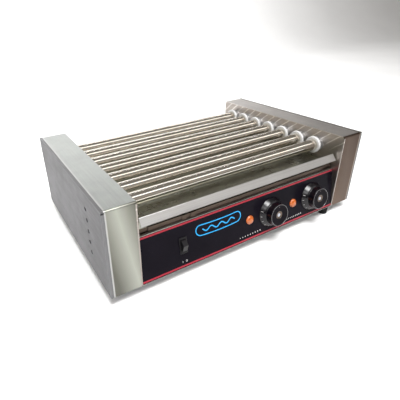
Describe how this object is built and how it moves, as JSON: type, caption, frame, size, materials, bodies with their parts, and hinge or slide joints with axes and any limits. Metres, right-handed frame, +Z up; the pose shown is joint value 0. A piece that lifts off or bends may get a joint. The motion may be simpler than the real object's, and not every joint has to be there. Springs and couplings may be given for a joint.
{
  "type": "hot dog roller grill",
  "caption": "Countertop hot dog roller grill: chain-driven heated rollers between end housings, pull-out drip tray with a slanted lip, leaning control panel with knobs and a rocker switch.",
  "frame": {"origin": "on the surface the rubber feet stand on, in the middle of the footprint of the whole grill, knobs and rear gland included", "axes": "+X to the operator's right along the rollers, -Y towards the operator, +Z up"},
  "size_m": [0.58, 0.4132, 0.18],
  "materials": {
    "black_rubber": "matt",
    "busbar_brass": "satin",
    "ceramic": "satin",
    "drive_steel": "oiled",
    "element_sheath": "oxidised",
    "gland_nylon": "satin",
    "housing_steel": "brushed",
    "knob_black": "gloss",
    "lamp_amber": "translucent gloss",
    "motor_metal": "satin",
    "panel_film": "gloss",
    "roller_steel": "polished",
    "switch_black": "satin",
    "tray_steel": "satin",
    "wall_steel": "satin",
    "white_ptfe": "satin",
    "wire_insulation": "matt",
    "zinc_steel": "zinc plated"
  },
  "bodies": {
    "chassis": {"base_plate": "zinc_steel", "cable_gland": "gland_nylon", "control_panel": "wall_steel", "drive_chain": "drive_steel", "drive_motor": "motor_metal", "element_terminals": "ceramic", "foot_nuts": "zinc_steel", "foot_screws": "zinc_steel", "front_zone_busbar": "busbar_brass", "heat_shield": "wall_steel", "heating_elements": "element_sheath", "left_element_bracket": "zinc_steel", "left_housing_shell": "housing_steel", "left_inner_wall": "wall_steel", "left_side_cover": "housing_steel", "motor_bracket": "zinc_steel", "motor_gearbox": "motor_metal", "neutral_busbar": "busbar_brass", "panel_overlay": "panel_film", "pilot_light_1": "lamp_amber", "pilot_light_2": "lamp_amber", "rear_edge_seals": "black_rubber", "rear_panel": "wall_steel", "rear_zone_busbar": "busbar_brass", "right_element_bracket": "zinc_steel", "right_housing_shell": "housing_steel", "right_inner_wall": "wall_steel", "right_side_cover": "housing_steel", "rocker_housing": "switch_black", "roller_bushes": "white_ptfe", "rubber_feet": "black_rubber", "sheet_screws": "zinc_steel", "terminal_block": "ceramic", "thermostat_1": "motor_metal", "thermostat_2": "motor_metal", "tray_runners": "wall_steel", "wall_fittings": "zinc_steel", "wiring_loom": "wire_insulation"},
    "roller_1_assembly": {"roller_1": "roller_steel", "sprocket_1": "drive_steel"},
    "roller_2_assembly": {"roller_2": "roller_steel", "sprocket_2": "drive_steel"},
    "roller_3_assembly": {"roller_3": "roller_steel", "sprocket_3": "drive_steel"},
    "roller_4_assembly": {"roller_4": "roller_steel", "sprocket_4": "drive_steel"},
    "roller_5_assembly": {"roller_5": "roller_steel", "sprocket_5": "drive_steel"},
    "roller_6_assembly": {"roller_6": "roller_steel", "sprocket_6": "drive_steel"},
    "roller_7_assembly": {"roller_7": "roller_steel", "sprocket_7": "drive_steel"},
    "drive_shaft": {"motor_shaft": "drive_steel", "drive_sprocket": "drive_steel"},
    "knob_1_assembly": {"knob_1": "knob_black", "thermostat_spindle_1": "drive_steel"},
    "knob_2_assembly": {"knob_2": "knob_black", "thermostat_spindle_2": "drive_steel"},
    "rocker": {"rocker_button": "switch_black"},
    "tray": {"drip_tray": "tray_steel"}
  },
  "joints": [
    {"name": "roller_1_spin", "type": "hinge", "parent": "chassis", "child": "roller_1_assembly", "pos_m": [0, -0.12505, 0.1485], "axis": [1, 0, 0], "continuous": true, "deforming": ["drive_chain"]},
    {"name": "roller_2_spin", "type": "hinge", "parent": "chassis", "child": "roller_2_assembly", "pos_m": [0, -0.0806, 0.1485], "axis": [1, 0, 0], "continuous": true},
    {"name": "roller_3_spin", "type": "hinge", "parent": "chassis", "child": "roller_3_assembly", "pos_m": [0, -0.03615, 0.1485], "axis": [1, 0, 0], "continuous": true},
    {"name": "roller_4_spin", "type": "hinge", "parent": "chassis", "child": "roller_4_assembly", "pos_m": [0, 0.0083, 0.1485], "axis": [1, 0, 0], "continuous": true},
    {"name": "roller_5_spin", "type": "hinge", "parent": "chassis", "child": "roller_5_assembly", "pos_m": [0, 0.05275, 0.1485], "axis": [1, 0, 0], "continuous": true},
    {"name": "roller_6_spin", "type": "hinge", "parent": "chassis", "child": "roller_6_assembly", "pos_m": [0, 0.0972, 0.1485], "axis": [1, 0, 0], "continuous": true},
    {"name": "roller_7_spin", "type": "hinge", "parent": "chassis", "child": "roller_7_assembly", "pos_m": [0, 0.14165, 0.1485], "axis": [1, 0, 0], "continuous": true},
    {"name": "drive_shaft_spin", "type": "hinge", "parent": "chassis", "child": "drive_shaft", "pos_m": [-0.255, 0.0083, 0.05598], "axis": [1, 0, 0], "continuous": true},
    {"name": "knob_1_turn", "type": "hinge", "parent": "chassis", "child": "knob_1_assembly", "pos_m": [0.053, -0.17883, 0.0624], "axis": [0, 0.986, -0.1668], "range_deg": [0, 290]},
    {"name": "knob_2_turn", "type": "hinge", "parent": "chassis", "child": "knob_2_assembly", "pos_m": [0.168, -0.17883, 0.0624], "axis": [0, 0.986, -0.1668], "range_deg": [0, 290]},
    {"name": "rocker_tip", "type": "hinge", "parent": "chassis", "child": "rocker", "pos_m": [-0.15, -0.17897, 0.06394], "axis": [1, 0, 0], "range_deg": [0, 16]},
    {"name": "tray_slide", "type": "slide", "parent": "chassis", "child": "tray", "axis": [0, -1, 0], "range_m": [0, 0.25]}
  ],
  "couplings": [
    {"joint": "roller_2_spin", "follows": "roller_1_spin", "ratio": 1},
    {"joint": "roller_3_spin", "follows": "roller_1_spin", "ratio": 1},
    {"joint": "roller_4_spin", "follows": "roller_1_spin", "ratio": 1},
    {"joint": "roller_5_spin", "follows": "roller_1_spin", "ratio": 1},
    {"joint": "roller_6_spin", "follows": "roller_1_spin", "ratio": 1},
    {"joint": "roller_7_spin", "follows": "roller_1_spin", "ratio": 1},
    {"joint": "drive_shaft_spin", "follows": "roller_1_spin", "ratio": 1.5}
  ]
}
